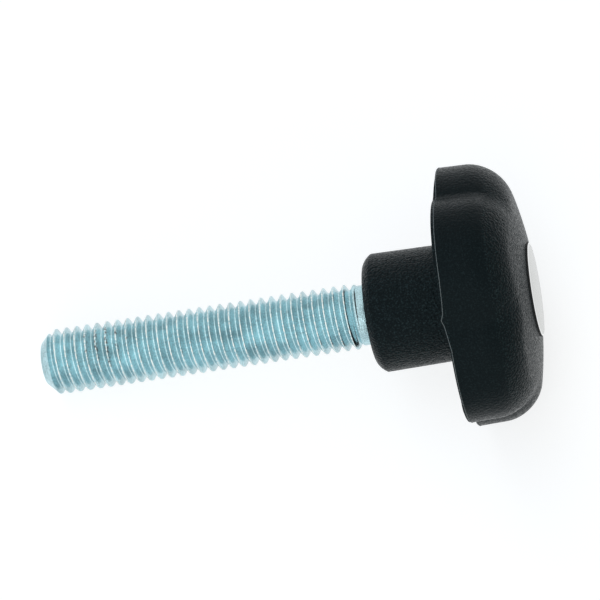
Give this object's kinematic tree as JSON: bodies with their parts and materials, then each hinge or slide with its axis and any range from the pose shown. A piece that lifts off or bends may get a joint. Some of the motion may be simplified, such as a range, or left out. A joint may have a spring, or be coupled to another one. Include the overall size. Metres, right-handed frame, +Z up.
{
  "type": "thumb screw",
  "caption": "Thumb screw: a black moulded lobed knob with a round hub, a zinc-plated steel threaded stud and a round satin metal cap in its face.",
  "frame": {"origin": "on the table, under the middle of the whole screw as it lies at rest", "axes": "+X runs level from the stud's tip towards the knob, +Z is up; the screw's own axis lies in the XZ plane and rises towards the knob"},
  "size_m": [0.0598, 0.031, 0.0303],
  "materials": {
    "black_plastic": "fine-grained moulded plastic, matt black",
    "zinc_plated_steel": "bright zinc plating with a faint blue passivation",
    "satin_metal": "satin face with a polished edge"
  },
  "bodies": {
    "root": {"knob": "black_plastic", "threaded_stud": "zinc_plated_steel", "cap": "satin_metal"}
  },
  "joints": []
}
